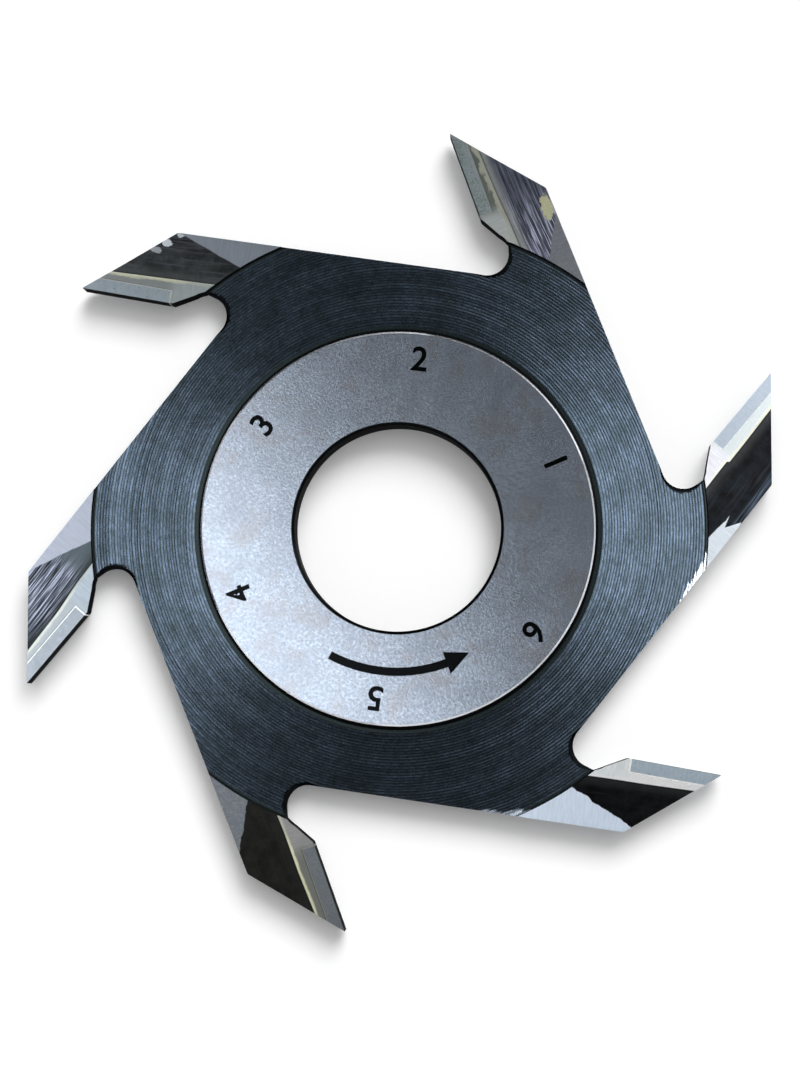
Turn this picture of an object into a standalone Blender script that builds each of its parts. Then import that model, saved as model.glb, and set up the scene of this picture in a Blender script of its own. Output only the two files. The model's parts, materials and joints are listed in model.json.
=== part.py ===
# Slotting cutter: a steel disc with a thick hub, six teeth, and a carbide tip brazed to each tooth.
# The origin lies on the bore's axis in the plane of the lower hub face, on which the cutter rests.
# +Z runs along the bore. Seen from +Z the teeth cut counter-clockwise. The two sides mirror each other.

from math import atan2, cos, pi, radians, sin, sqrt, tan

import bmesh
import bpy
from mathutils import Matrix, Vector

# Driving dimensions, in metres and degrees.
CUTTING_DIAMETER = 0.125
BORE_DIAMETER = 0.032
CUTTING_WIDTH = 0.004
TOOTH_COUNT = 6
FIRST_TIP_ANGLE = 22.5

HUB_DIAMETER = 0.0612
HUB_THICKNESS = 0.0064
HUB_RIM_CHAMFER = 0.0004
HUB_FOOT_FILLET = 0.0006
BORE_CHAMFER = 0.00045

RIM_DEPTH = 0.0144
RIM_RECESS = 0.0003
RIM_FOOT_FILLET = 0.0005
WEB_RECESS = 0.0005

HOOK_ANGLE = 27.3
RELIEF_ANGLE = 22.5
SIDE_RELIEF_ANGLE = 2.5
SIDE_TAPER_ANGLE = 0.3
GROUND_STRIP_WIDTH = 0.0031
GROUND_STRIP_FLARE = 2.4
GROUND_STRIP_OVERRUN = 0.0003

TIP_LENGTH = 0.0138
TIP_THICKNESS = 0.0019
BRAZE_THICKNESS = 0.00018
BRAZE_CLEARANCE = 0.00003
SEAT_LAND = 0.0004

TOOTH_HEIGHT = 0.02128
BACK_LEAN = 0.83
HEEL_RADIUS = 0.0008
THROAT_LENGTH = 0.00552
THROAT_ANGLE = 56.9
GULLET_FLOOR_ANGLE = 10
GULLET_RADIUS = 0.0034
GULLET_CHAMFER = 0.00055
GULLET_CHAMFER_ENDS = 0.00015
GULLET_CHAMFER_SIDE = 225

# How finely the round surfaces are cut up, and how far a cutter reaches past the metal.
DISC_STEPS = 96
ARC_STEPS = 10
FILLET_STEPS = 3
REACH = 0.002

# Colours as red, green and blue, then metallic and roughness.
STEEL = ((0.075, 0.085, 0.1), 0.9, 0.42)
CARBIDE = ((0.42, 0.44, 0.46), 0.95, 0.35)
BRAZE = ((0.62, 0.56, 0.34), 0.9, 0.4)

# The rim is the thicker ring that the teeth are cut from. It ends at the web, which is thinner.
CUTTING_RADIUS = CUTTING_DIAMETER / 2
RIM_INNER_RADIUS = CUTTING_RADIUS - RIM_DEPTH
RIM_TOP = CUTTING_WIDTH / 2 - RIM_RECESS
WEB_TOP = CUTTING_WIDTH / 2 - WEB_RECESS

# Each tooth is laid out in its own frame, with the tip's corner on +X at the cutting radius.
# In it, s runs inward along the cutting edge and d runs behind that edge into the tooth.
TOOTH_PITCH = 2 * pi / TOOTH_COUNT
TIP_CORNER = Vector((CUTTING_RADIUS, 0))
EDGE_INWARD = Vector((-cos(radians(HOOK_ANGLE)), -sin(radians(HOOK_ANGLE))))
EDGE_BEHIND = Vector((sin(radians(HOOK_ANGLE)), -cos(radians(HOOK_ANGLE))))
SEAM_WIDTH = BRAZE_THICKNESS + 2 * BRAZE_CLEARANCE
SEAT_LENGTH = TIP_LENGTH + SEAM_WIDTH
SEAT_DEPTH = TIP_THICKNESS + SEAM_WIDTH
THROAT_START = SEAT_LENGTH + SEAT_LAND

# The blank is turned with more metal on the rim than the finished teeth have.
BLANK_TOP = CUTTING_WIDTH / 2 + REACH
CUTTER_TOP = BLANK_TOP + REACH


def tooth_point(s, d):
    return TIP_CORNER + EDGE_INWARD * s + EDGE_BEHIND * d


def relief_s(d):
    # Where the ground relief behind the tip's corner lies at depth d.
    return d * tan(radians(HOOK_ANGLE + RELIEF_ANGLE))


def strip_edge_d(s):
    # The back border of the strip that is ground on each side of the tooth.
    return GROUND_STRIP_WIDTH + s * tan(radians(GROUND_STRIP_FLARE))


def rim_end_s(d):
    # Where a line behind the cutting edge, and parallel to it, leaves the rim for the web.
    inner = RIM_INNER_RADIUS - RIM_FOOT_FILLET
    line_offset = CUTTING_RADIUS * sin(radians(HOOK_ANGLE)) + d
    return CUTTING_RADIUS * cos(radians(HOOK_ANGLE)) - sqrt(inner**2 - line_offset**2)


def ground_height(s, d):
    # Half the tooth's width on the ground strip: widest along the cutting edge.
    return CUTTING_WIDTH / 2 - d * tan(radians(SIDE_RELIEF_ANGLE)) - s * tan(radians(SIDE_TAPER_ANGLE))


def crossing(point_a, direction_a, point_b, direction_b):
    # Where two lines in the plane cross.
    share = (point_b - point_a).cross(direction_b) / direction_a.cross(direction_b)
    return point_a + direction_a * share


def direction(angle):
    return Vector((cos(angle), sin(angle)))


def arc(centre, radius, start, end, steps):
    return [centre + direction(start + (end - start) * i / steps) * radius for i in range(steps + 1)]


def fillet(before, corner, after, radius):
    # The circle that rounds a corner of an outline: its centre, where it starts, and how far it turns.
    incoming = (corner - before).normalized()
    outgoing = (after - corner).normalized()
    turn = atan2(incoming.cross(outgoing), incoming.dot(outgoing))
    start = corner - incoming * radius * tan(abs(turn) / 2)
    inward = Vector((-incoming.y, incoming.x)) * (1 if turn > 0 else -1)
    return start + inward * radius, start, turn


def rounded(before, corner, after, radius, steps):
    centre, start, turn = fillet(before, corner, after, radius)
    first = atan2(start.y - centre.y, start.x - centre.x)
    return arc(centre, radius, first, first + turn, steps)


def turned(plane_point, angle):
    return Matrix.Rotation(angle, 2) @ plane_point


def back_line(turn):
    # A point on the flat back of a tooth that is turned by an angle, and the way along that back.
    normal = direction(turn - TOOTH_PITCH - radians(BACK_LEAN))
    return normal * (CUTTING_RADIUS - TOOTH_HEIGHT), Vector((-normal.y, normal.x))


def gullet_corners():
    # The throat's foot, the corner where the gullet's floor meets the next tooth's back, and a point up it.
    throat_foot = tooth_point(THROAT_START, 0) - direction(radians(THROAT_ANGLE)) * THROAT_LENGTH
    next_back, next_run = back_line(TOOTH_PITCH)
    corner = crossing(throat_foot, direction(radians(GULLET_FLOOR_ANGLE)), next_back, next_run)
    return throat_foot, corner, corner + next_run


def gullet_radius():
    # The gullet's own radius, unless its floor is too short for that.
    throat_foot, corner, up = gullet_corners()
    floor_length = (throat_foot - corner).length
    corner_turn = radians(90 + GULLET_FLOOR_ANGLE + BACK_LEAN)
    return min(GULLET_RADIUS, 0.95 * floor_length / tan(corner_turn / 2))


def tooth_outline():
    # One tooth's share of the outline, counter-clockwise: heel, relief, the tip's seat, throat, gullet.
    relief_run = -direction(radians(90 - RELIEF_ANGLE))
    back, back_run = back_line(0)
    heel = crossing(TIP_CORNER, relief_run, back, back_run)
    throat_foot, corner, up = gullet_corners()
    points = rounded(heel - back_run, heel, TIP_CORNER, HEEL_RADIUS, FILLET_STEPS)
    points += [tooth_point(relief_s(SEAT_DEPTH), SEAT_DEPTH), tooth_point(SEAT_LENGTH, SEAT_DEPTH)]
    points += [tooth_point(SEAT_LENGTH, 0), tooth_point(THROAT_START, 0), throat_foot]
    points += rounded(throat_foot, corner, up, gullet_radius(), ARC_STEPS)
    return points


def whole_outline():
    one_tooth = tooth_outline()
    return [turned(p, TOOTH_PITCH * i) for i in range(TOOTH_COUNT) for p in one_tooth]


def half_profile():
    # The turned blank's section above its mid-plane, as radius and height, from the bore outwards.
    bore, hub, hub_top = BORE_DIAMETER / 2, HUB_DIAMETER / 2, HUB_THICKNESS / 2
    foot_radius = min(HUB_FOOT_FILLET, hub_top - HUB_RIM_CHAMFER - WEB_TOP)
    foot = Vector((hub + foot_radius, WEB_TOP + foot_radius))
    step = Vector((RIM_INNER_RADIUS - RIM_FOOT_FILLET, WEB_TOP + RIM_FOOT_FILLET))
    points = [
        Vector((bore, hub_top - BORE_CHAMFER)),
        Vector((bore + BORE_CHAMFER, hub_top)),
        Vector((hub - HUB_RIM_CHAMFER, hub_top)),
        Vector((hub, hub_top - HUB_RIM_CHAMFER)),
    ]
    points += arc(foot, foot_radius, pi, 3 * pi / 2, FILLET_STEPS)
    points += arc(step, RIM_FOOT_FILLET, -pi / 2, 0, FILLET_STEPS)
    points += [Vector((RIM_INNER_RADIUS, BLANK_TOP)), Vector((CUTTING_RADIUS + REACH, BLANK_TOP))]
    return points


def lathe(shape, section, steps, closed):
    # Spins a section of radius and height round the Z axis.
    ring = [shape.verts.new((p.x, 0, p.y)) for p in section]
    edges = [shape.edges.new(pair) for pair in zip(ring, ring[1:])]
    if closed:
        edges.append(shape.edges.new((ring[-1], ring[0])))
    bmesh.ops.spin(shape, geom=ring + edges, cent=(0, 0, 0), axis=(0, 0, 1), angle=2 * pi, steps=steps)
    bmesh.ops.remove_doubles(shape, verts=shape.verts, dist=1e-6)
    bmesh.ops.recalc_face_normals(shape, faces=shape.faces)


def block(shape, corners, low, high):
    # A closed block over a plan outline of (s, d) corners, its lower and upper faces given as heights.
    lower = [shape.verts.new((*tooth_point(s, d), low(s, d))) for s, d in corners]
    upper = [shape.verts.new((*tooth_point(s, d), high(s, d))) for s, d in corners]
    faces = [shape.faces.new(lower), shape.faces.new(upper)]
    for i in range(len(corners)):
        faces.append(shape.faces.new((lower[i - 1], lower[i], upper[i], upper[i - 1])))
    bmesh.ops.recalc_face_normals(shape, faces=faces)


def repeated(shape):
    # Copies one tooth's cutter to all the teeth.
    single = bpy.data.meshes.new("single")
    shape.to_mesh(single)
    shape.clear()
    for i in range(TOOTH_COUNT):
        copy = single.copy()
        copy.transform(Matrix.Rotation(TOOTH_PITCH * i, 4, "Z"))
        shape.from_mesh(copy)
        bpy.data.meshes.remove(copy)
    bpy.data.meshes.remove(single)


def new_object(name, shape, turn):
    mesh = bpy.data.meshes.new(name)
    shape.to_mesh(mesh)
    shape.free()
    made = bpy.data.objects.new(name, mesh)
    made.location.z = HUB_THICKNESS / 2
    made.rotation_euler.z = radians(FIRST_TIP_ANGLE) + turn
    bpy.context.scene.collection.objects.link(made)
    return made


def paint(piece, name, colour, metallic, roughness):
    finish = bpy.data.materials.new(name)
    finish.use_nodes = True
    shader = finish.node_tree.nodes["Principled BSDF"]
    shader.inputs["Base Color"].default_value = (*colour, 1)
    shader.inputs["Metallic"].default_value = metallic
    shader.inputs["Roughness"].default_value = roughness
    finish.diffuse_color = (*colour, 1)
    piece.data.materials.append(finish)


def smooth(piece):
    piece.data.shade_smooth()
    piece.data.set_sharp_from_angle(angle=radians(25))


def apply_cut(body, cutter, operation):
    cut = body.modifiers.new(cutter.name, "BOOLEAN")
    cut.operation = operation
    cut.solver = "EXACT"
    cut.object = cutter
    cutter.hide_render = True
    cutter.display_type = "WIRE"


def make_outline_guide():
    # Only the metal inside this prism stays of the turned blank.
    shape = bmesh.new()
    reach = HUB_THICKNESS / 2 + REACH
    lower = shape.faces.new([shape.verts.new((*p, -reach)) for p in whole_outline()])
    grown = bmesh.ops.extrude_face_region(shape, geom=[lower])
    risen = [item for item in grown["geom"] if isinstance(item, bmesh.types.BMVert)]
    bmesh.ops.translate(shape, verts=risen, vec=(0, 0, 2 * reach))
    bmesh.ops.recalc_face_normals(shape, faces=shape.faces)
    return new_object("outline_guide", shape, 0)


def strip_corners(overrun):
    # The plan of the strip that is ground beside each cutting edge, from past the tip to inside the web.
    outer, front = -3 * REACH, -REACH
    inner = rim_end_s(strip_edge_d(rim_end_s(0))) + REACH
    return [
        (outer, front),
        (inner, front),
        (inner, strip_edge_d(inner) + overrun),
        (outer, strip_edge_d(outer) + overrun),
    ]


def make_strip_guard():
    # Keeps the strips beside the cutting edges out of the face cutter.
    shape = bmesh.new()
    block(shape, strip_corners(0), lambda s, d: -CUTTER_TOP - REACH, lambda s, d: CUTTER_TOP + REACH)
    repeated(shape)
    return new_object("strip_guard", shape, 0)


def make_face_cutter():
    # Turns the rim down to the teeth's own thickness on both sides, apart from the strips.
    shape = bmesh.new()
    inner = RIM_INNER_RADIUS - RIM_FOOT_FILLET
    outer = CUTTING_RADIUS + 2 * REACH
    for side in (1, -1):
        low, high = side * RIM_TOP, side * CUTTER_TOP
        section = [Vector((inner, low)), Vector((outer, low)), Vector((outer, high)), Vector((inner, high))]
        lathe(shape, section, DISC_STEPS, True)
    cutter = new_object("face_cutter", shape, 0)
    apply_cut(cutter, make_strip_guard(), "DIFFERENCE")
    return cutter


def make_strip_cutter():
    # Grinds the strips, on both sides of each tooth.
    shape = bmesh.new()
    corners = strip_corners(GROUND_STRIP_OVERRUN)
    block(shape, corners, ground_height, lambda s, d: CUTTER_TOP)
    block(shape, corners, lambda s, d: -CUTTER_TOP, lambda s, d: -ground_height(s, d))
    repeated(shape)
    return new_object("strip_cutter", shape, 0)


def make_gullet_countersink():
    # Breaks the edge along each gullet's floor, deepest on its inner side, on both sides of the web.
    shape = bmesh.new()
    wide = gullet_radius() + GULLET_CHAMFER_ENDS
    depth = 2 * GULLET_CHAMFER
    for side in (1, -1):
        section = [
            Vector((0, side * (WEB_TOP - depth))),
            Vector((wide - depth, side * (WEB_TOP - depth))),
            Vector((wide, side * WEB_TOP)),
            Vector((wide, side * CUTTER_TOP)),
            Vector((0, side * CUTTER_TOP)),
        ]
        lathe(shape, section, 4 * ARC_STEPS, False)
    centre, start, turn = fillet(*gullet_corners(), gullet_radius())
    centre += direction(radians(GULLET_CHAMFER_SIDE)) * (GULLET_CHAMFER - GULLET_CHAMFER_ENDS)
    bmesh.ops.translate(shape, verts=shape.verts, vec=(*centre, 0))
    repeated(shape)
    return new_object("gullet_countersink", shape, 0)


def make_body():
    upper = half_profile()
    lower = [Vector((p.x, -p.y)) for p in reversed(upper)]
    shape = bmesh.new()
    lathe(shape, upper + lower, DISC_STEPS, True)
    body = new_object("cutter_body", shape, 0)
    paint(body, "blued_steel", *STEEL)
    apply_cut(body, make_outline_guide(), "INTERSECT")
    apply_cut(body, make_face_cutter(), "DIFFERENCE")
    apply_cut(body, make_strip_cutter(), "DIFFERENCE")
    apply_cut(body, make_gullet_countersink(), "DIFFERENCE")
    smooth(body)


def make_tips():
    # A hard-metal plate, ground to the relief at its outer end.
    corners = [(0, 0), (TIP_LENGTH, 0), (TIP_LENGTH, TIP_THICKNESS), (relief_s(TIP_THICKNESS), TIP_THICKNESS)]
    for i in range(TOOTH_COUNT):
        shape = bmesh.new()
        block(shape, corners, lambda s, d: -ground_height(s, d), ground_height)
        tip = new_object(f"carbide_tip_{i + 1}", shape, TOOTH_PITCH * i)
        paint(tip, "carbide", *CARBIDE)


def make_braze_seams():
    # The brazing metal lines the seat behind the tip and at its inner end.
    inner = TIP_THICKNESS + BRAZE_CLEARANCE
    outer = inner + BRAZE_THICKNESS
    near = TIP_LENGTH + BRAZE_CLEARANCE
    far = near + BRAZE_THICKNESS
    corners = [(near, 0), (far, 0), (far, outer), (relief_s(outer), outer), (relief_s(inner), inner), (near, inner)]
    for i in range(TOOTH_COUNT):
        shape = bmesh.new()
        block(shape, corners, lambda s, d: -ground_height(s, d), ground_height)
        seam = new_object(f"braze_seam_{i + 1}", shape, TOOTH_PITCH * i)
        paint(seam, "brazing_brass", *BRAZE)


def main():
    for old in list(bpy.data.objects):
        bpy.data.objects.remove(old)
    make_body()
    make_tips()
    make_braze_seams()


main()
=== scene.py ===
import json
import random
from math import atan2, cos, pi, radians, sin, tan

import bmesh
import bpy
from mathutils import Matrix, Vector

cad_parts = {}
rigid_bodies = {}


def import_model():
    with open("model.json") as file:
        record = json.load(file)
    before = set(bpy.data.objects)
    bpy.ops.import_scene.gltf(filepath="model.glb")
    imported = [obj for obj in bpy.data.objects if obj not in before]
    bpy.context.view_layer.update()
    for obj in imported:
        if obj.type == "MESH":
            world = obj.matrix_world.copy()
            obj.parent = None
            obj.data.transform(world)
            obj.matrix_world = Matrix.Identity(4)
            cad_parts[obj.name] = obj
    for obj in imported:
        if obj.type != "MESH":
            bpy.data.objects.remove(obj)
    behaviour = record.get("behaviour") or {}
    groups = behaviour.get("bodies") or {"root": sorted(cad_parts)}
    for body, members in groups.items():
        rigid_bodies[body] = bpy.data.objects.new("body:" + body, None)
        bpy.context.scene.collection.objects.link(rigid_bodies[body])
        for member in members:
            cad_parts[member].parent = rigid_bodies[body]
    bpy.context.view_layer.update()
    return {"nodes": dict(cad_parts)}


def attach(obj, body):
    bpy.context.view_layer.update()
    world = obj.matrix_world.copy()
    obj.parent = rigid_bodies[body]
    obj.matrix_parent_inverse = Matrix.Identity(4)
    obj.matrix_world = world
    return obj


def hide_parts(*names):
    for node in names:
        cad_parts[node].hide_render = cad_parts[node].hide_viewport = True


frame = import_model()
mm = 0.001
bpy.context.scene.view_settings.view_transform = "Standard"
print("frame loaded:", len(frame["nodes"]), "nodes")

# All sizes below are in millimetres and degrees, and heights are counted from the disc's mid-plane.
cutter = dict(
    cuttingRadius=62.5,
    boreRadius=16,
    teeth=6,
    firstTip=22.5,
    midPlane=3.2,
    hook=27.3,
    relief=22.5,
    sideRelief=2.5,
    sideTaper=0.3,
    halfWidth=2.0,
)
tooth = dict(
    tipLength=13.8,
    tipThickness=1.9,
    seamWidth=0.24,
    seatLand=0.4,
    backFlat=41.22,
    backLean=0.83,
    heelRadius=0.8,
    throatLength=5.52,
    throatAngle=56.9,
    floorAngle=10,
    gulletRadius=3.4,
    stripWidth=3.1,
    stripFlare=2.4,
)


# Where things are on a tooth

def heading(angle):
    return Vector((cos(radians(angle)), sin(radians(angle))))


def onEdge(s, d):
    # s runs inward along the cutting edge, d behind it, with the tip's corner on +X
    corner = Vector((cutter["cuttingRadius"], 0))
    return corner - heading(cutter["hook"]) * s + heading(cutter["hook"] - 90) * d


def reliefAt(d):
    return d * tan(radians(cutter["hook"] + cutter["relief"]))


def stripBorder(s):
    return tooth["stripWidth"] + s * tan(radians(tooth["stripFlare"]))


def groundHeight(s, d):
    reliefFall = d * tan(radians(cutter["sideRelief"]))
    taperFall = s * tan(radians(cutter["sideTaper"]))
    return cutter["halfWidth"] - reliefFall - taperFall


def meeting(pointA, runA, pointB, runB):
    return pointA + runA * ((pointB - pointA).cross(runB) / runA.cross(runB))


def arcPoints(centre, radius, start, end, steps):
    return [centre + heading(start + (end - start) * i / steps) * radius for i in range(steps + 1)]


def roundCorner(before, corner, after, radius):
    # The centre of the circle that rounds a corner, the heading where it starts, and how far it turns
    incoming = (corner - before).normalized()
    outgoing = (after - corner).normalized()
    turn = atan2(incoming.cross(outgoing), incoming.dot(outgoing))
    start = corner - incoming * radius * tan(abs(turn) / 2)
    centre = start + Vector((-incoming.y, incoming.x)) * radius * (1 if turn > 0 else -1)
    first = atan2(start.y - centre.y, start.x - centre.x)
    return centre, first * 180 / pi, turn * 180 / pi


def backLine(turn):
    # A point on the flat back of a tooth that is turned by an angle, and the way along that back
    normal = heading(turn - 360 / cutter["teeth"] - tooth["backLean"])
    return normal * tooth["backFlat"], Vector((-normal.y, normal.x))


def throatStart():
    return onEdge(tooth["tipLength"] + tooth["seamWidth"] + tooth["seatLand"], 0)


def gulletCorner():
    # The throat's foot, the corner where the gullet's floor meets the next tooth's back, and the way
    # up that back
    foot = throatStart() - heading(tooth["throatAngle"]) * tooth["throatLength"]
    nextBack, nextRun = backLine(360 / cutter["teeth"])
    return foot, meeting(foot, heading(tooth["floorAngle"]), nextBack, nextRun), nextRun


def gulletCircle():
    foot, corner, nextRun = gulletCorner()
    return roundCorner(foot, corner, corner + nextRun, tooth["gulletRadius"])


def toothOutline():
    # Heel, ground relief, the plate's seat, throat and gullet, counter-clockwise
    tipCorner = onEdge(0, 0)
    back, backRun = backLine(0)
    heel = meeting(tipCorner, -heading(90 - cutter["relief"]), back, backRun)
    seatDepth = tooth["tipThickness"] + tooth["seamWidth"]
    seatEnd = tooth["tipLength"] + tooth["seamWidth"]
    centre, first, turn = roundCorner(heel - backRun, heel, tipCorner, tooth["heelRadius"])
    points = arcPoints(centre, tooth["heelRadius"], first, first + turn, 6)
    points += [onEdge(reliefAt(seatDepth), seatDepth), onEdge(seatEnd, seatDepth), onEdge(seatEnd, 0)]
    points += [throatStart(), gulletCorner()[0]]
    centre, first, turn = gulletCircle()
    points += arcPoints(centre, tooth["gulletRadius"], first, first + turn, 24)
    return points


def atTooth(point, number):
    return Matrix.Rotation(radians(cutter["firstTip"] + 360 / cutter["teeth"] * number), 2) @ point


def onPlan(point, height):
    return Vector((point.x, point.y, height))


# Ways of modelling that several pieces share

def traceLine(name, points):
    # Extrudes one vertex along the points, and stays in edit mode
    bpy.ops.object.select_all(action="DESELECT")
    bpy.ops.mesh.primitive_plane_add(size=mm)
    piece = bpy.context.object
    piece.name = name
    bpy.ops.object.mode_set(mode="EDIT")
    bpy.ops.mesh.select_all(action="SELECT")
    bpy.ops.mesh.merge(type="CENTER")
    bpy.ops.transform.translate(value=points[0] * mm)
    for here, there in zip(points, points[1:]):
        bpy.ops.mesh.extrude_region_move(TRANSFORM_OT_translate={"value": (there - here) * mm})
    bpy.ops.mesh.select_all(action="SELECT")
    return piece


def fillAndRaise(rise):
    # Fills the traced outline and extrudes it straight up
    bpy.ops.mesh.edge_face_add()
    bpy.ops.mesh.extrude_region_move(TRANSFORM_OT_translate={"value": (0, 0, rise * mm)})
    bpy.ops.mesh.select_all(action="SELECT")
    bpy.ops.mesh.normals_make_consistent(inside=False)


def spinRound(steps):
    bpy.ops.mesh.spin(steps=steps, angle=2 * pi, center=(0, 0, 0), axis=(0, 0, 1))
    bpy.ops.mesh.select_all(action="SELECT")
    bpy.ops.mesh.remove_doubles(threshold=0.001 * mm)
    bpy.ops.mesh.normals_make_consistent(inside=False)


def copyRoundTeeth():
    # Spins copies of the whole mesh to the other teeth
    others = cutter["teeth"] - 1
    turn = 2 * pi * others / cutter["teeth"]
    bpy.ops.mesh.spin(steps=others, dupli=True, angle=turn, center=(0, 0, 0), axis=(0, 0, 1))
    bpy.ops.mesh.select_all(action="SELECT")


def backToObject():
    bpy.ops.object.mode_set(mode="OBJECT")


def mirrorDown(piece, weld):
    mirror = piece.modifiers.new("lowerSide", "MIRROR")
    mirror.use_axis = (False, False, True)
    mirror.use_mirror_merge = weld
    mirror.merge_threshold = 0.001 * mm
    bpy.context.view_layer.objects.active = piece
    bpy.ops.object.modifier_apply(modifier=mirror.name)


def carve(piece, tool, operation):
    cut = piece.modifiers.new("cut", "BOOLEAN")
    cut.operation = operation
    cut.solver = "MANIFOLD"
    cut.object = tool
    bpy.ops.object.select_all(action="DESELECT")
    bpy.context.view_layer.objects.active = piece
    bpy.ops.object.modifier_apply(modifier=cut.name)
    bpy.data.objects.remove(tool)


# The turned blank

turning = dict(
    steps=240,
    hubRadius=30.6,
    hubChamfer=0.28,
    hubFoot=0.6,
    boreChamfer=0.45,
    webTop=1.5,
    grooveStart=31.7,
    grooveEnd=47.4,
    groovePitch=0.45,
    grooveDepth=0.056,
    rimInner=48.1,
    rimFoot=0.5,
    rimTop=1.7,
    blankTop=4,
    blankRadius=64.5,
    filletSteps=8,
    smoothAngle=13,
    seed=5,
)


def grooveLine():
    # The tool's feed marks across the web: shallow rings, no two quite alike
    chance = random.Random(turning["seed"])
    points = []
    r = turning["grooveStart"]
    while r < turning["grooveEnd"]:
        pitch = turning["groovePitch"] * chance.uniform(0.92, 1.08)
        depth = turning["grooveDepth"] * chance.uniform(0.97, 1.08)
        points.append(Vector((r, turning["webTop"])))
        points.append(Vector((r + pitch * chance.uniform(0.42, 0.58), turning["webTop"] - depth)))
        r += pitch
    points.append(Vector((r, turning["webTop"])))
    return points


def halfSection():
    hubTop = cutter["midPlane"]
    bore, hub = cutter["boreRadius"], turning["hubRadius"]
    foot = Vector((hub + turning["hubFoot"], turning["webTop"] + turning["hubFoot"]))
    step = Vector((turning["rimInner"] - turning["rimFoot"], turning["webTop"] + turning["rimFoot"]))
    points = [
        Vector((bore, 0)),
        Vector((bore, hubTop - turning["boreChamfer"])),
        Vector((bore + turning["boreChamfer"], hubTop)),
        Vector((hub - turning["hubChamfer"], hubTop)),
        Vector((hub, hubTop - turning["hubChamfer"])),
    ]
    points += arcPoints(foot, turning["hubFoot"], 180, 270, turning["filletSteps"])
    points += grooveLine()
    points += arcPoints(step, turning["rimFoot"], -90, 0, turning["filletSteps"])
    points += [
        Vector((turning["rimInner"], turning["blankTop"])),
        Vector((turning["blankRadius"], turning["blankTop"])),
        Vector((turning["blankRadius"], 0)),
    ]
    return points


def turnBlank():
    blank = traceLine("cutterBodyFine", [Vector((p.x, 0, p.y)) for p in halfSection()])
    spinRound(turning["steps"])
    backToObject()
    mirrorDown(blank, True)
    return blank


# Milling and grinding the teeth. The reaches say how far a tool goes past the mid-plane, and the strip's
# tool starts outside the tip, ends past the seat and stands in front of the cutting edge.

milling = dict(
    outlineReach=10,
    guardReach=8,
    stripRise=6,
    stripOuter=-6,
    stripInner=22.8,
    stripFront=-2,
    stripOverrun=0.3,
    clear=2,
    coneSteps=48,
)


def outlineTool():
    oneTooth = toothOutline()
    plan = [atTooth(p, i) for i in range(cutter["teeth"]) for p in oneTooth]
    tool = traceLine("outlineTool", [onPlan(p, -milling["outlineReach"]) for p in plan])
    fillAndRaise(2 * milling["outlineReach"])
    backToObject()
    return tool


def stripPlan(overrun):
    outer, inner, front = milling["stripOuter"], milling["stripInner"], milling["stripFront"]
    corners = [(outer, front), (inner, front), (inner, stripBorder(inner) + overrun)]
    return corners + [(outer, stripBorder(outer) + overrun)]


def stripGuard():
    reach = milling["guardReach"]
    guard = traceLine("stripGuard", [onPlan(atTooth(onEdge(s, d), 0), -reach) for s, d in stripPlan(0)])
    fillAndRaise(2 * reach)
    copyRoundTeeth()
    backToObject()
    return guard


def faceTool():
    inner = turning["rimInner"] - turning["rimFoot"]
    outer = turning["blankRadius"] + milling["clear"]
    low, high = turning["rimTop"], turning["blankTop"] + milling["clear"]
    section = [Vector((inner, 0, low)), Vector((outer, 0, low))]
    section += [Vector((outer, 0, high)), Vector((inner, 0, high))]
    tool = traceLine("faceTool", section + section[:1])
    spinRound(turning["steps"])
    backToObject()
    mirrorDown(tool, False)
    carve(tool, stripGuard(), "DIFFERENCE")
    return tool


def stripTool():
    corners = stripPlan(milling["stripOverrun"])
    plan = [onPlan(atTooth(onEdge(s, d), 0), groundHeight(s, d)) for s, d in corners]
    tool = traceLine("stripTool", plan)
    fillAndRaise(milling["stripRise"])
    copyRoundTeeth()
    backToObject()
    mirrorDown(tool, False)
    return tool


gulletEdge = dict(chamfer=0.55, ends=0.15, side=238)


def gulletTool():
    # A cone that breaks the edge of the gullet's floor, deepest towards the bore
    wide = tooth["gulletRadius"] + gulletEdge["ends"]
    depth = 2 * gulletEdge["chamfer"]
    low, top, high = turning["webTop"] - depth, turning["webTop"], turning["blankTop"] + milling["clear"]
    section = [Vector((0, 0, low)), Vector((wide - depth, 0, low)), Vector((wide, 0, top))]
    section += [Vector((wide, 0, high)), Vector((0, 0, high))]
    tool = traceLine("gulletTool", section)
    spinRound(milling["coneSteps"])
    centre = gulletCircle()[0]
    centre += heading(gulletEdge["side"]) * (gulletEdge["chamfer"] - gulletEdge["ends"])
    bpy.ops.transform.translate(value=onPlan(atTooth(centre, 0), 0) * mm)
    copyRoundTeeth()
    backToObject()
    mirrorDown(tool, False)
    return tool


# Marks stamped in the hub's upper face: a number beside each tooth, and an arrow that shows which way
# the cutter turns

marks = dict(
    depth=0.12,
    numberRadius=26.3,
    numberHeight=3.7,
    figureShare=0.7,
    numberBold=0.1,
    arrowRadius=22.2,
    arrowWidth=1.3,
    headWidth=3.6,
    arrowTail=242,
    arrowNeck=290,
    arrowPoint=300,
    arcSteps=24,
)


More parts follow.
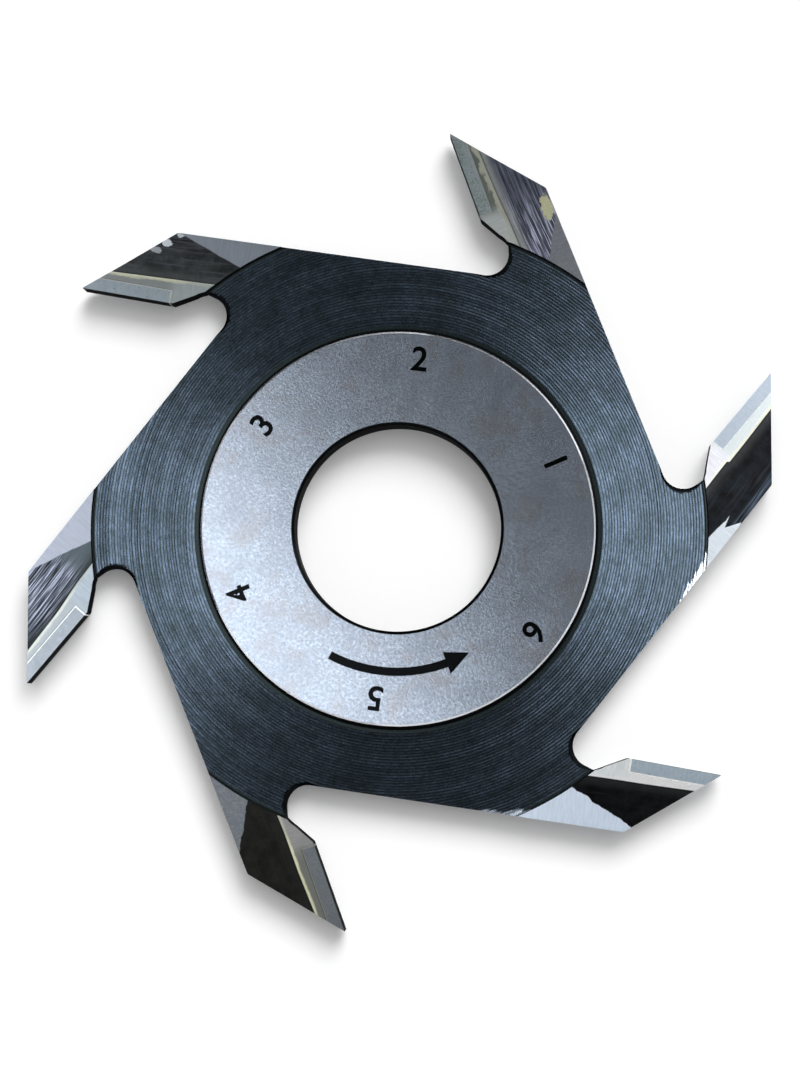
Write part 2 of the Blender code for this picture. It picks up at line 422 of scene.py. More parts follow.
def numberStamp(number):
    bpy.ops.object.select_all(action="DESELECT")
    bpy.ops.object.text_add()
    figure = bpy.context.object
    figure.data.body = str(number + 1)
    figure.data.align_x = "CENTER"
    figure.data.align_y = "CENTER"
    figure.data.size = marks["numberHeight"] * mm / marks["figureShare"]
    figure.data.offset = marks["numberBold"] * mm
    figure.data.resolution_u = 4
    bpy.ops.object.convert(target="MESH")
    stamp = bpy.context.object
    angle = cutter["firstTip"] + 360 / cutter["teeth"] * number
    place = heading(angle) * marks["numberRadius"] * mm
    low = (cutter["midPlane"] - marks["depth"]) * mm
    turn = Matrix.Rotation(radians(angle - 90), 4, "Z")
    stamp.data.transform(Matrix.Translation((place.x, place.y, low)) @ turn)
    bpy.ops.object.mode_set(mode="EDIT")
    bpy.ops.mesh.select_all(action="SELECT")
    bpy.ops.mesh.remove_doubles(threshold=0.005 * mm)
    bpy.ops.mesh.extrude_region_move(TRANSFORM_OT_translate={"value": (0, 0, mm)})
    bpy.ops.mesh.select_all(action="SELECT")
    bpy.ops.mesh.normals_make_consistent(inside=False)
    backToObject()
    return stamp


def arrowStamp():
    mid, half, head = marks["arrowRadius"], marks["arrowWidth"] / 2, marks["headWidth"] / 2
    tail, neck, steps = marks["arrowTail"], marks["arrowNeck"], marks["arcSteps"]
    axis = Vector((0, 0))
    plan = arcPoints(axis, mid - half, tail, neck, steps)
    plan += [heading(neck) * (mid - head), heading(marks["arrowPoint"]) * mid, heading(neck) * (mid + head)]
    plan += arcPoints(axis, mid + half, neck, tail, steps)
    stamp = traceLine("arrowStamp", [onPlan(p, cutter["midPlane"] - marks["depth"]) for p in plan])
    fillAndRaise(1)
    backToObject()
    return stamp


def stampHub(body):
    for number in range(cutter["teeth"]):
        carve(body, numberStamp(number), "DIFFERENCE")
    carve(body, arrowStamp(), "DIFFERENCE")


def makeBody():
    body = turnBlank()
    print("blank turned:", len(body.data.polygons), "faces")
    carve(body, outlineTool(), "INTERSECT")
    print("outline milled:", len(body.data.polygons), "faces")
    carve(body, faceTool(), "DIFFERENCE")
    print("tooth faces milled:", len(body.data.polygons), "faces")
    carve(body, stripTool(), "DIFFERENCE")
    carve(body, gulletTool(), "DIFFERENCE")
    print("teeth ground:", len(body.data.polygons), "faces")
    stampHub(body)
    bpy.ops.object.select_all(action="DESELECT")
    body.select_set(True)
    bpy.context.view_layer.objects.active = body
    bpy.ops.object.mode_set(mode="EDIT")
    bpy.ops.mesh.select_all(action="SELECT")
    bpy.ops.mesh.remove_doubles(threshold=0.002 * mm)
    bpy.ops.transform.translate(value=(0, 0, cutter["midPlane"] * mm))
    backToObject()
    bpy.ops.object.shade_smooth_by_angle(angle=radians(turning["smoothAngle"]))
    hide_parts("cutter_body")
    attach(body, "root")
    return body


body = makeBody()
print("body done:", len(body.data.polygons), "faces")


# Node helpers: each adds nodes to a tree and gives back an output

def feed(tree, value, socket):
    if isinstance(value, bpy.types.NodeSocket):
        tree.links.new(value, socket)
    elif isinstance(value, tuple) and len(socket.default_value) == 4:
        socket.default_value = (*value, 1)
    else:
        socket.default_value = value


def calc(tree, operation, *values):
    node = tree.nodes.new("ShaderNodeMath")
    node.operation = operation
    for value, socket in zip(values, node.inputs):
        feed(tree, value, socket)
    return node.outputs["Value"]


def times(tree, *values):
    product = values[0]
    for value in values[1:]:
        product = calc(tree, "MULTIPLY", product, value)
    return product


def opposite(tree, mask):
    return calc(tree, "SUBTRACT", 1.0, mask)


def above(tree, value, level, soft):
    # 0 below the level and 1 above it, over a soft border
    node = tree.nodes.new("ShaderNodeMapRange")
    node.interpolation_type = "SMOOTHSTEP"
    feed(tree, value, node.inputs["Value"])
    if isinstance(level, bpy.types.NodeSocket):
        feed(tree, calc(tree, "SUBTRACT", level, soft), node.inputs["From Min"])
        feed(tree, calc(tree, "ADD", level, soft), node.inputs["From Max"])
    else:
        feed(tree, level - soft, node.inputs["From Min"])
        feed(tree, level + soft, node.inputs["From Max"])
    return node.outputs["Result"]


def between(tree, value, low, high, soft):
    return times(tree, above(tree, value, low, soft), opposite(tree, above(tree, value, high, soft)))


def tint(tree, factor, first, second):
    node = tree.nodes.new("ShaderNodeMix")
    node.data_type = "RGBA"
    feed(tree, factor, node.inputs[0])
    feed(tree, first, node.inputs[6])
    feed(tree, second, node.inputs[7])
    return node.outputs[2]


def scaleColour(tree, colour, factor):
    node = tree.nodes.new("ShaderNodeVectorMath")
    node.operation = "SCALE"
    feed(tree, colour, node.inputs[0])
    feed(tree, factor, node.inputs["Scale"])
    return node.outputs["Vector"]


def grain(tree, place, scale, detail=3.0, rough=0.55):
    # Noise stretched to run from about 0 to 1
    node = tree.nodes.new("ShaderNodeTexNoise")
    feed(tree, place, node.inputs["Vector"])
    node.inputs["Scale"].default_value = scale
    node.inputs["Detail"].default_value = detail
    node.inputs["Roughness"].default_value = rough
    return above(tree, node.outputs[0], 0.5, 0.28)


def vectorOf(tree, x, y, z):
    node = tree.nodes.new("ShaderNodeCombineXYZ")
    feed(tree, x, node.inputs["X"])
    feed(tree, y, node.inputs["Y"])
    feed(tree, z, node.inputs["Z"])
    return node.outputs["Vector"]


def byTooth(tree, number, values):
    # One value or colour for each tooth, in the order of the teeth round the disc
    node = tree.nodes.new("ShaderNodeValToRGB")
    node.color_ramp.interpolation = "CONSTANT"
    stops = node.color_ramp.elements
    while len(stops) < len(values):
        stops.new(1)
    for i, value in enumerate(values):
        stops[i].position = i / len(values)
        stops[i].color = (*value, 1) if isinstance(value, tuple) else (value, value, value, 1)
    feed(tree, number, node.inputs["Fac"])
    return node.outputs["Color"]


def newMaterial(name):
    material = bpy.data.materials.new(name)
    material.use_nodes = True
    return material, material.node_tree, material.node_tree.nodes["Principled BSDF"]


def dress(piece, material):
    piece.data.materials.clear()
    piece.data.materials.append(material)


def makeToothPlan():
    # Where a point lies: its radius and angle on the disc, and its s and d on the nearest tooth, in mm
    group = bpy.data.node_groups.new("toothPlan", "ShaderNodeTree")
    group.interface.new_socket("Place", in_out="INPUT", socket_type="NodeSocketVector")
    names = ("Radius", "Angle", "Number", "S", "D", "Out", "Side", "Height", "FromBack")
    for name in names:
        group.interface.new_socket(name, in_out="OUTPUT", socket_type="NodeSocketFloat")
    entry = group.nodes.new("NodeGroupInput")
    leave = group.nodes.new("NodeGroupOutput")
    axes = group.nodes.new("ShaderNodeSeparateXYZ")
    group.links.new(entry.outputs["Place"], axes.inputs[0])
    x, y, z = (calc(group, "DIVIDE", axes.outputs[i], mm) for i in range(3))
    radius = calc(group, "SQRT", calc(group, "ADD", times(group, x, x), times(group, y, y)))
    angle = times(group, calc(group, "ARCTAN2", y, x), 180 / pi)
    pitch = 360 / cutter["teeth"]
    # A tooth's sector starts this many degrees before its tip's corner
    before = 45.0
    turned = calc(group, "FLOORED_MODULO", calc(group, "ADD", angle, before - cutter["firstTip"]), 360.0)
    number = calc(group, "FLOOR", calc(group, "DIVIDE", turned, pitch))
    local = calc(group, "SUBTRACT", calc(group, "FLOORED_MODULO", turned, pitch), before)
    local = times(group, local, pi / 180)
    out = times(group, radius, calc(group, "COSINE", local))
    along = calc(group, "SUBTRACT", out, cutter["cuttingRadius"])
    across = times(group, radius, calc(group, "SINE", local))
    hook = heading(cutter["hook"])
    s = calc(group, "ADD", times(group, along, -hook.x), times(group, across, -hook.y))
    d = calc(group, "ADD", times(group, along, hook.y), times(group, across, -hook.x))
    height = calc(group, "ABSOLUTE", calc(group, "SUBTRACT", z, cutter["midPlane"]))
    position = calc(group, "DIVIDE", calc(group, "ADD", number, 0.5), cutter["teeth"])
    backNormal = heading(-pitch - tooth["backLean"])
    reach = calc(group, "ADD", times(group, out, backNormal.x), times(group, across, backNormal.y))
    fromBack = calc(group, "SUBTRACT", tooth["backFlat"], reach)
    for name, value in zip(names, (radius, angle, position, s, d, out, across, height, fromBack)):
        group.links.new(value, leave.inputs[name])
    return group


def makeSurfaceGrain():
    # What all the ground faces share: scratches across the cutting edge, stains and specks
    group = bpy.data.node_groups.new("surfaceGrain", "ShaderNodeTree")
    group.interface.new_socket("Place", in_out="INPUT", socket_type="NodeSocketVector")
    for name in ("S", "D", "Number"):
        group.interface.new_socket(name, in_out="INPUT", socket_type="NodeSocketFloat")
    for name in ("Scratch", "Mottle", "Speck"):
        group.interface.new_socket(name, in_out="OUTPUT", socket_type="NodeSocketFloat")
    entry = group.nodes.new("NodeGroupInput").outputs
    leave = group.nodes.new("NodeGroupOutput").inputs
    across = vectorOf(group, times(group, entry["S"], 3.6), times(group, entry["D"], 0.4), entry["Number"])
    group.links.new(grain(group, across, 1.0), leave["Scratch"])
    group.links.new(grain(group, entry["Place"], 1.7, 4, 0.65), leave["Mottle"])
    group.links.new(grain(group, entry["Place"], 3.0, 3, 0.7), leave["Speck"])
    return group


toothPlan = makeToothPlan()
surfaceGrain = makeSurfaceGrain()


def usePlan(tree):
    # The plan's and the grain's outputs by name, the place in mm and how far a face looks up or down
    place = tree.nodes.new("ShaderNodeTexCoord").outputs["Object"]
    group = tree.nodes.new("ShaderNodeGroup")
    group.node_tree = toothPlan
    tree.links.new(place, group.inputs["Place"])
    plan = {socket.name: socket for socket in group.outputs}
    plan["Place"] = scaleColour(tree, place, 1 / mm)
    grains = tree.nodes.new("ShaderNodeGroup")
    grains.node_tree = surfaceGrain
    for name in ("Place", "S", "D", "Number"):
        tree.links.new(plan[name], grains.inputs[name])
    plan.update({socket.name: socket for socket in grains.outputs})
    facing = tree.nodes.new("ShaderNodeSeparateXYZ")
    tree.links.new(tree.nodes.new("ShaderNodeNewGeometry").outputs["True Normal"], facing.inputs[0])
    plan["Flat"] = calc(tree, "ABSOLUTE", facing.outputs["Z"])
    return plan


def bumpFrom(tree, height, strength, distance):
    node = tree.nodes.new("ShaderNodeBump")
    node.inputs["Strength"].default_value = strength
    node.inputs["Distance"].default_value = distance
    feed(tree, height, node.inputs["Height"])
    return node.outputs["Normal"]


# Body steel: ground hub, blued web with fine turned rings, and on each tooth a ground strip, a brassy
# border, a black zone and a ground heel. The lists run round the disc from the first tooth, and a place
# on a tooth is given as if its tip's corner lay on +X. The strip, band, edge and heel tones differ from
# tooth to tooth partly as each tooth's finish does and partly as the light falls on it: painted light
# and shade. Painted shade darkens the side walls, the chamfers, the groove crests, the hub's foot and the
# rim's step, and a painted highlight brightens the hub's outer chamfer.

steel = dict(
    hub=(0.69, 0.80, 0.96),
    hubDark=(0.33, 0.38, 0.46),
    hubStain=(0.40, 0.40, 0.43),
    # The rim's colour is a painted highlight on the hub's outer chamfer, all round
    hubRimHighlight=(0.92, 0.95, 1.0),
    web=(0.14, 0.19, 0.28),
    webDark=(0.016, 0.024, 0.020),
    # The crest's colour is painted shade on the tops of the turned grooves
    crestShade=(0.023, 0.032, 0.034),
    # The wall colour is painted shade, put on the side walls
    wallShade=(0.012, 0.012, 0.013),
    # line: dark of the stamps, the zone's border line and the gullet's border; painted shade at feet and
    # chamfers
    line=(0.006, 0.007, 0.008),
    # strip, band and edge set each tooth's tone partly as its own finish and partly as painted light and
    # shade
    strip=[(0.90, 0.91, 0.97), (0.43, 0.465, 0.46), (0.345, 0.385, 0.395),
           (0.265, 0.31, 0.355), (0.205, 0.205, 0.205), (0.93, 0.98, 1.0)],
    band=[(0.72, 0.78, 0.80), (0.138, 0.156, 0.138), (0.235, 0.262, 0.258),
          (0.25, 0.283, 0.306), (0.12, 0.126, 0.113), (1.0, 1.0, 1.0)],
    edge=[(1.0, 1.0, 0.85), (0.385, 0.395, 0.33), (0.53, 0.545, 0.43),
          (0.41, 0.44, 0.415), (0.50, 0.50, 0.35), (1.0, 1.0, 1.0)],
    edgeSpread=[0.15, 0.9, 0.35, 0.2, 0.2, 0.1],
    edgeWidth=0.3,
    borderOut=[3.4, 3.1, 3.2, 3.05, 3.25, 2.9],
    borderIn=[3.3, 3.3, 3.2, 3.5, 3.0, 2.8],
    borderStep=[0.35, 0, 0, 0, 0, 0],
    stepPlace=14.8,
    stripStart=14.0,
    lineWidth=0.2,
    black=[(0.012, 0.011, 0.012), (0.022, 0.032, 0.038), (0.012, 0.014, 0.014),
           (0.012, 0.015, 0.018), (0.0075, 0.0082, 0.0075), (0.0035, 0.0035, 0.004)],
    smoke=[(0.026, 0.034, 0.043), (0.080, 0.090, 0.12), (0.050, 0.057, 0.062),
           (0.020, 0.025, 0.032), (0.019, 0.020, 0.018), (0.011, 0.013, 0.014)],
    streak=[(0.034, 0.038, 0.044), (0.14, 0.15, 0.21), (0.050, 0.052, 0.062),
            (0.095, 0.11, 0.15), (0.019, 0.019, 0.017), (0.012, 0.013, 0.014)],
    gleam=[(0.17, 0.23, 0.32), (0.55, 0.57, 0.74), (0.12, 0.12, 0.15),
           (0.37, 0.41, 0.52), (0.03, 0.03, 0.03), (0.02, 0.02, 0.02)],
    haze=[0.08, 0.85, 0.15, 0.08, 0.085, 0.03],
    hazeWidth=1.0,
    # heel sets each tooth's tone partly as its own finish and partly as painted light and shade
    heel=[(0.84, 0.92, 1.0), (0.205, 0.22, 0.25), (0.19, 0.215, 0.25),
          (0.30, 0.33, 0.40), (0.13, 0.145, 0.17), (0.74, 0.85, 1.0)],
    streakReach=[0.25, 0.55, 0.35, 0.5, 0.2, 0.2],
    gleamInner=[0, 1, 0, 0.1, 0, 0],
    gleamAll=[0, 0.1, 0.1, 0.9, 0, 0],
    gleamBack=[0.6, 0, 0, 0, 0, 0],
    corner=[0, 0, 0, 0.8, 0, 0],
    cornerTone=(0.065, 0.085, 0.095),
    chips=[0, 0, 1, 0, 0, 0],
    chipTone=(0.42, 0.46, 0.50),
    chipPlaces=[
        ((57.0, -11.8), (0.95, 0.5), 0.5),
        ((56.3, -13.8), (0.85, 0.65), 1.0),
        ((55.3, -16.0), (0.65, 0.42), 0.9),
    ],
    spill=[0, 1, 0, 0, 0, 0],
    heelLine=[17.0, 17.95, 16.85, 16.5, 17.7, 15.1],
    heelSlope=[0.46, 0, 0.13, 0.06, 0, 0.05],
    slopeFrom=50.0,
    heelEnd=[48.08, 60, 60, 60, 60, 56.5],
    heelFingers=[1, 0, 0, 0, 0, 0],
    fingerLine=-17.85,
    fingerNotch=1.6,
    fingerReach=2.9,
    heelBumps=[0.3, 0.3, 0.12, 0.2, 0.5, 0.5],
    heelSpeck=[0, 0.15, 0, 0.05, 0.15, 0],
    speckTone=(0.42, 0.43, 0.36),
    spillTone=(0.58, 0.58, 0.38),
    spillPlace=(52.9, -16.5),
    spillSize=(2.1, 0.95),
    patchHeading=22,
    groundPastRim=[1, 0, 0, 0, 0, 1],
    combStart=45.3,
    combSlope=0.48,
    combDepth=1.4,
    rimShade=[0.4, 0.9, 0.9, 0.9, 0.3, 0.3],
)

# How strongly each pattern shows, and how rough each surface is
finish = dict(
    hubCloud=0.6,
    hubMottle=0.6,
    hubSpeck=0.45,
    hubGrit=0.45,
    hubStain=0.55,
    webDash=0.7,
    webWave=0.35,
    webCloud=0.5,
    # The strength of the painted shade at the hub's foot and the rim's step, and of the gullet's dark border
    shadeAndGulletBorder=0.95,
    stripScratch=0.45,
    heelScratch=0.35,
    bandSpeck=0.13,
    haze=0.8,
    zoneLine=0.6,
    metallic=0.95,
    specular=0.3,
    hubRough=0.145,
    mottleRough=0.04,
    webRough=0.10,
    toothRough=0.05,
    wallRough=0.35,
    bump=0.15,
    bumpDepth=0.02,
)


def ringNoise(tree, plan, across, along, detail):
    # Noise drawn out round the disc: so many grains a mm across the rings, and so many a radian along them
    angle = times(tree, plan["Angle"], pi / 180)
    east = times(tree, calc(tree, "COSINE", angle), along)
    north = times(tree, calc(tree, "SINE", angle), along)
    return grain(tree, vectorOf(tree, times(tree, plan["Radius"], across), east, north), 1.0, detail)


def edgeNoise(tree, plan, along, across, detail, seed):
    # Noise drawn out along each cutting edge, in streaks that bend away from it further in
    bend = times(tree, plan["S"], plan["S"], 0.002)
    across = times(tree, calc(tree, "SUBTRACT", plan["D"], bend), across)
    place = vectorOf(tree, times(tree, plan["S"], along), across, times(tree, plan["Number"], seed))
    return grain(tree, place, 1.0, detail)


def perTooth(tree, plan, key):
    return byTooth(tree, plan["Number"], steel[key])


def lengthByTooth(tree, plan, key):
    # A colour stop holds no value past 1, so the lengths are held in tenths of a metre
    return times(tree, byTooth(tree, plan["Number"], [length / 100 for length in steel[key]]), 100)


def hubTone(tree, plan):
    cloud = grain(tree, plan["Place"], 0.15, 3)
    stain = above(tree, grain(tree, plan["Place"], 0.24, 3), 0.75, 0.3)
    hub = tint(tree, times(tree, cloud, finish["hubCloud"]), steel["hub"], steel["hubDark"])
    hub = tint(tree, times(tree, plan["Mottle"], finish["hubMottle"]), hub, steel["hubDark"])
    hub = tint(tree, times(tree, plan["Speck"], finish["hubSpeck"]), hub, steel["hubDark"])
    grit = above(tree, grain(tree, plan["Place"], 2.2, 2), 0.5, 0.15)
    hub = tint(tree, times(tree, grit, finish["hubGrit"]), hub, steel["hubDark"])
    hub = tint(tree, times(tree, stain, finish["hubStain"]), hub, steel["hubStain"])
    # Painted highlight: the hub's outer chamfer is painted bright all round
    rimHighlight = above(tree, plan["Radius"], turning["hubRadius"] - turning["hubChamfer"], 0.03)
    return tint(tree, rimHighlight, hub, steel["hubRimHighlight"])


def webTone(tree, plan):
    r = plan["Radius"]
    dash = times(tree, ringNoise(tree, plan, 4.4, 42, 2), finish["webDash"])
    wave = times(tree, ringNoise(tree, plan, 1.5, 7, 3), finish["webWave"])
    cloud = times(tree, grain(tree, plan["Place"], 0.22, 4), finish["webCloud"])
    web = tint(tree, calc(tree, "ADD", 1 - finish["webDash"], dash), steel["webDark"], steel["web"])
    web = tint(tree, wave, web, steel["webDark"])
    web = tint(tree, cloud, web, steel["webDark"])
    # Painted shade: the groove crests are darker than the slopes, so that they mirror the overhead box less
    web = tint(tree, above(tree, plan["Height"], turning["webTop"] - 0.018, 0.012), web, steel["crestShade"])
    # Painted shade: a dark band in the recess at the hub's foot, and a dark line at the foot of the rim's
    # step, as strong on each tooth as rimShade gives. The dark border beside the gullet joins them.
    foot = between(tree, r, turning["hubRadius"] - 0.02, turning["hubRadius"] + turning["hubFoot"], 0.1)
    rimStepShade = between(tree, r, turning["rimInner"] - 0.55, turning["rimInner"] - 0.2, 0.08)
    rimStepShade = times(tree, rimStepShade, perTooth(tree, plan, "rimShade"))
    dark = calc(tree, "MAXIMUM", foot, rimStepShade)
    dark = calc(tree, "MAXIMUM", dark, gulletBorder(tree, plan))
    return tint(tree, times(tree, dark, finish["shadeAndGulletBorder"]), web, steel["line"])


def gulletBorder(tree, plan):
    # The dark border beside the gullet's floor, widest towards the bore
    centre = gulletCircle()[0]
    across = calc(tree, "SUBTRACT", plan["Out"], centre.x)
    along = calc(tree, "SUBTRACT", plan["Side"], centre.y)
    distance = calc(tree, "SQRT", calc(tree, "ADD", times(tree, across, across), times(tree, along, along)))
    side = heading(gulletEdge["side"])
    toBore = calc(tree, "ADD", times(tree, across, side.x), times(tree, along, side.y))
    toBore = calc(tree, "MAXIMUM", calc(tree, "DIVIDE", toBore, distance), 0.0)
    width = calc(tree, "ADD", 0.15, times(tree, toBore, toBore, 0.6))
    width = calc(tree, "ADD", width, times(tree, calc(tree, "SUBTRACT", plan["Mottle"], 0.5), 0.5))
    beside = opposite(tree, above(tree, calc(tree, "SUBTRACT", distance, width), tooth["gulletRadius"], 0.08))
    return times(tree, beside, above(tree, toBore, 0.2, 0.15))


def zoneTone(tree, plan):
    # The black zone: smoky patches, long streaks, and bright gleams where a tooth has them
    s, mottle = plan["S"], plan["Mottle"]
    streaks = edgeNoise(tree, plan, 0.10, 2.4, 5, 40)
    fine = edgeNoise(tree, plan, 0.16, 5.8, 2, 70)
    patches = grain(tree, plan["Place"], 0.45, 3)
    smoky = times(tree, patches, calc(tree, "ADD", 0.4, times(tree, mottle, 0.6)))
    zone = tint(tree, smoky, perTooth(tree, plan, "black"), perTooth(tree, plan, "smoke"))
    reach = opposite(tree, perTooth(tree, plan, "streakReach"))
    streaked = times(tree, streaks, above(tree, streaks, reach, 0.25))
    zone = tint(tree, streaked, zone, perTooth(tree, plan, "streak"))
    inner = times(tree, perTooth(tree, plan, "gleamInner"), above(tree, s, 15.0, 4.0))
    atBack = opposite(tree, above(tree, plan["FromBack"], 1.0, 0.5))
    nearBack = times(tree, perTooth(tree, plan, "gleamBack"), atBack)
    outer = times(tree, perTooth(tree, plan, "gleamAll"), between(tree, s, 7.0, 19.5, 2.5))
    gleam = calc(tree, "ADD", calc(tree, "ADD", inner, nearBack), outer)
    gleam = times(tree, gleam, above(tree, fine, 0.6, 0.14), calc(tree, "ADD", 0.3, streaks))
    zone = tint(tree, calc(tree, "MINIMUM", gleam, 1.0), zone, perTooth(tree, plan, "gleam"))
    inCorner = times(tree, above(tree, s, 18.0, 1.5), perTooth(tree, plan, "corner"))
    return tint(tree, inCorner, zone, steel["cornerTone"])


def patchMask(tree, plan, place, size):
    # An oval patch on a tooth, along the streaks and with an uneven border
    run = heading(steel["patchHeading"])
    across = calc(tree, "SUBTRACT", plan["Out"], place[0])
    along = calc(tree, "SUBTRACT", plan["Side"], place[1])
    length = calc(tree, "ADD", times(tree, across, run.x / size[0]), times(tree, along, run.y / size[0]))
    width = calc(tree, "ADD", times(tree, across, -run.y / size[1]), times(tree, along, run.x / size[1]))
    reach = calc(tree, "SQRT", calc(tree, "ADD", times(tree, length, length), times(tree, width, width)))
    reach = calc(tree, "ADD", reach, times(tree, plan["Mottle"], 0.5))
    return opposite(tree, above(tree, reach, 1.2, 0.08))


def chipMask(tree, plan):
    # Bright chips beside the ground relief
    chips = 0.0
    for place, size, strength in steel["chipPlaces"]:
        chips = calc(tree, "MAXIMUM", times(tree, patchMask(tree, plan, place, size), strength), chips)
    return times(tree, chips, perTooth(tree, plan, "chips"))


def spillMask(tree, plan):
    # A spill of brazing metal on the flat of one tooth
    spill = patchMask(tree, plan, steel["spillPlace"], steel["spillSize"])
    return times(tree, spill, perTooth(tree, plan, "spill"))


def heelTone(tree, plan):
    # The heel's tone per tooth is partly painted light and shade, brighter or darker as the light falls on it
    heel = perTooth(tree, plan, "heel")
    scratches = times(tree, plan["Scratch"], finish["heelScratch"])
    heel = tint(tree, scratches, heel, scaleColour(tree, heel, 0.6))
    specks = times(tree, above(tree, plan["Speck"], 0.62, 0.15), perTooth(tree, plan, "heelSpeck"))
    return tint(tree, specks, heel, steel["speckTone"])


def behindZone(tree, plan):
    # How far a point lies behind the black zone's rear border, which each tooth has at its own slope
    down = calc(tree, "SUBTRACT", steel["fingerLine"], plan["Side"])
    second = times(tree, above(tree, down, steel["fingerNotch"], 0.15), steel["fingerReach"])
    fingers = times(tree, calc(tree, "SUBTRACT", second, down), perTooth(tree, plan, "heelFingers"))
    alongEdge = vectorOf(tree, times(tree, plan["S"], 0.55), times(tree, plan["Number"], 90), 0.0)
    bumps = calc(tree, "SUBTRACT", grain(tree, alongEdge, 1.0, 3), 0.5)
    bumps = times(tree, bumps, perTooth(tree, plan, "heelBumps"))
    slope = calc(tree, "SUBTRACT", plan["Out"], steel["slopeFrom"])
    slope = times(tree, slope, perTooth(tree, plan, "heelSlope"))
    behind = calc(tree, "SUBTRACT", slope, lengthByTooth(tree, plan, "heelLine"))
    behind = calc(tree, "SUBTRACT", behind, plan["Side"])
    behind = calc(tree, "ADD", behind, bumps)
    toEnd = calc(tree, "SUBTRACT", lengthByTooth(tree, plan, "heelEnd"), plan["Out"])
    return calc(tree, "MINIMUM", behind, calc(tree, "ADD", toEnd, fingers))


def stripEnd(tree, plan):
    # How far behind the cutting edge the brassy border ends and the black zone starts
    s = plan["S"]
    borderOut, borderIn = (lengthByTooth(tree, plan, key) for key in ("borderOut", "borderIn"))
    width = tint(tree, above(tree, s, steel["stripStart"], 4.0), borderOut, borderIn)
    border = calc(tree, "ADD", times(tree, s, tan(radians(tooth["stripFlare"]))), width)
    step = times(tree, above(tree, s, steel["stepPlace"], 0.15), perTooth(tree, plan, "borderStep"))
    return calc(tree, "SUBTRACT", border, step)


def stripTone(tree, plan, border, strip, shine):
    # The ground strip beyond the plate, the band beside the plate, and the brassy edge of both
    s = plan["S"]
    # The band's and edge's tones per tooth are partly painted light and shade, as the light falls on each
    # tooth
    band = scaleColour(tree, perTooth(tree, plan, "band"), shine)
    edge = scaleColour(tree, perTooth(tree, plan, "edge"), shine)
    face = tint(tree, opposite(tree, above(tree, s, steel["stripStart"], 1.5)), strip, band)
    spread = times(tree, edgeNoise(tree, plan, 0.6, 1.0, 3, 20), perTooth(tree, plan, "edgeSpread"))
    edgeStart = calc(tree, "SUBTRACT", border, calc(tree, "ADD", steel["edgeWidth"], spread))
    paler = opposite(tree, times(tree, above(tree, s, 16.0, 2.0), 0.6))
    return tint(tree, times(tree, above(tree, plan["D"], edgeStart, 0.2), paler), face, edge)


def toothTone(tree, plan, heel):
    d, border = plan["D"], stripEnd(tree, plan)
    shine = calc(tree, "ADD", 1 - finish["bandSpeck"], times(tree, plan["Speck"], finish["bandSpeck"]))
    # The strip's tone per tooth is partly painted light and shade, as the light falls on each tooth
    strip = perTooth(tree, plan, "strip")
    scratches = times(tree, plan["Scratch"], finish["stripScratch"])
    strip = tint(tree, scratches, strip, scaleColour(tree, strip, 0.6))
    face = stripTone(tree, plan, border, strip, shine)
    zone = zoneTone(tree, plan)
    zone = tint(tree, chipMask(tree, plan), zone, steel["chipTone"])
    zone = tint(tree, spillMask(tree, plan), zone, scaleColour(tree, steel["spillTone"], shine))
    hazeEnd = calc(tree, "ADD", border, steel["hazeWidth"])
    beside = opposite(tree, above(tree, d, hazeEnd, 0.9))
    haze = scaleColour(tree, strip, perTooth(tree, plan, "haze"))
    zone = tint(tree, times(tree, beside, finish["haze"]), zone, haze)
    lineEnd = calc(tree, "ADD", border, steel["lineWidth"])
    line = opposite(tree, above(tree, d, lineEnd, 0.15))
    zone = tint(tree, times(tree, line, finish["zoneLine"]), zone, steel["line"])
    face = tint(tree, above(tree, d, border, 0.06), face, zone)
    return tint(tree, above(tree, behindZone(tree, plan), 0.0, 0.08), face, heel)


def pastRimMask(tree, plan):
    # The grinding of the heel runs on over the rim's foot, with a comb border where it meets the rings
    comb = calc(tree, "SUBTRACT", ringNoise(tree, plan, 5, 9, 3), 0.5)
    comb = times(tree, comb, steel["combDepth"])
    depth = calc(tree, "SUBTRACT", plan["Radius"], steel["combStart"])
    depth = calc(tree, "SUBTRACT", times(tree, depth, steel["combSlope"]), plan["FromBack"])
    depth = calc(tree, "ADD", depth, comb)
    where = times(tree, above(tree, plan["Radius"], 44, 0.1), perTooth(tree, plan, "groundPastRim"))
    return times(tree, above(tree, depth, 0.0, 0.08), where)


